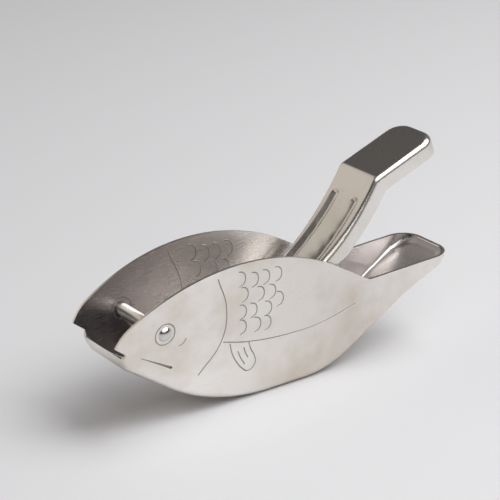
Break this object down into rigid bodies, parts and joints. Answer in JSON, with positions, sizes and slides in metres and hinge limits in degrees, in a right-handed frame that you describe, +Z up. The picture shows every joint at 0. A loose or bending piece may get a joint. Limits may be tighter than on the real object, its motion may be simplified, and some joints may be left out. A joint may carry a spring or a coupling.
{
  "type": "lemon squeezer",
  "caption": "Fish-shaped hand squeezer for a citrus wedge: an open sheet-steel trough with a pouring mouth and a bent press lever hinged on a domed rivet.",
  "frame": {"origin": "middle of the object's box, at the height of the flat of the belly that it stands on", "axes": "+X from the mouth to the tail, +Z up, and the fish's two walls face -Y and +Y"},
  "size_m": [0.1254, 0.027, 0.0684],
  "materials": {
    "trough_steel": "satin",
    "lever_steel": "half-bright",
    "rivet_steel": "polished"
  },
  "bodies": {
    "body": {"trough_body": "trough_steel", "hinge_rivet": "rivet_steel"},
    "lever": {"press_lever": "lever_steel"}
  },
  "joints": [
    {"name": "lever_hinge", "type": "hinge", "parent": "body", "child": "lever", "pos_m": [-0.04616, 0, 0.031], "axis": [0, -1, 0], "range_deg": [-17.5, 165]}
  ]
}
